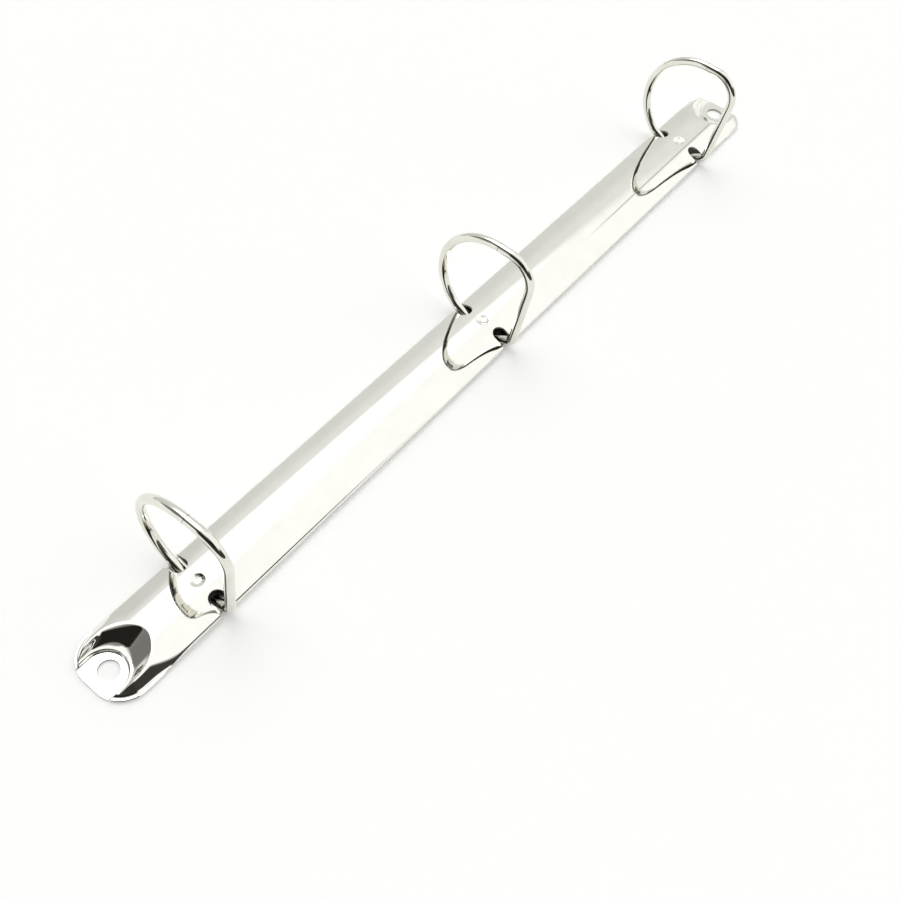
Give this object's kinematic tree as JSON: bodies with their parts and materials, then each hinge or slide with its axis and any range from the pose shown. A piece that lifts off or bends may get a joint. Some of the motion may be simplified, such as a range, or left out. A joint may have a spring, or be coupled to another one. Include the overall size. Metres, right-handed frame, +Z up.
{
  "type": "ring binder mechanism",
  "caption": "Bright plated ring binder mechanism: a long arched cover with a pressed fixing end at each side, and slanted D-shaped wire rings that snap open on two sprung hinge plates.",
  "frame": {"origin": "middle of the two fixing holes, on the underside of the cover", "axes": "+X along the cover, +Y towards the round half rings, +Z up through the rings"},
  "size_m": [0.279, 0.0302, 0.0343],
  "materials": {
    "bright_plate": "mirror-bright nickel plate",
    "ring_wire": "bright nickel plate on drawn wire",
    "plain_plate": "plain plated sheet steel"
  },
  "bodies": {
    "cover": {"cover": "bright_plate"},
    "round_leaf": {"hinge_plate_round": "plain_plate", "round_half_near": "ring_wire", "round_half_middle": "ring_wire", "round_half_far": "ring_wire"},
    "post_leaf": {"hinge_plate_post": "plain_plate", "post_half_near": "ring_wire", "post_half_middle": "ring_wire", "post_half_far": "ring_wire"}
  },
  "joints": [
    {"name": "round_swing", "type": "hinge", "parent": "cover", "child": "round_leaf", "pos_m": [0, 0.0084, 0.0012], "axis": [-1, 0, 0], "range_deg": [0, 14.5]},
    {"name": "post_swing", "type": "hinge", "parent": "cover", "child": "post_leaf", "pos_m": [0, -0.0084, 0.0012], "axis": [1, 0, 0], "range_deg": [0, 14.5]}
  ],
  "couplings": [
    {"joint": "post_swing", "follows": "round_swing", "ratio": 1}
  ]
}
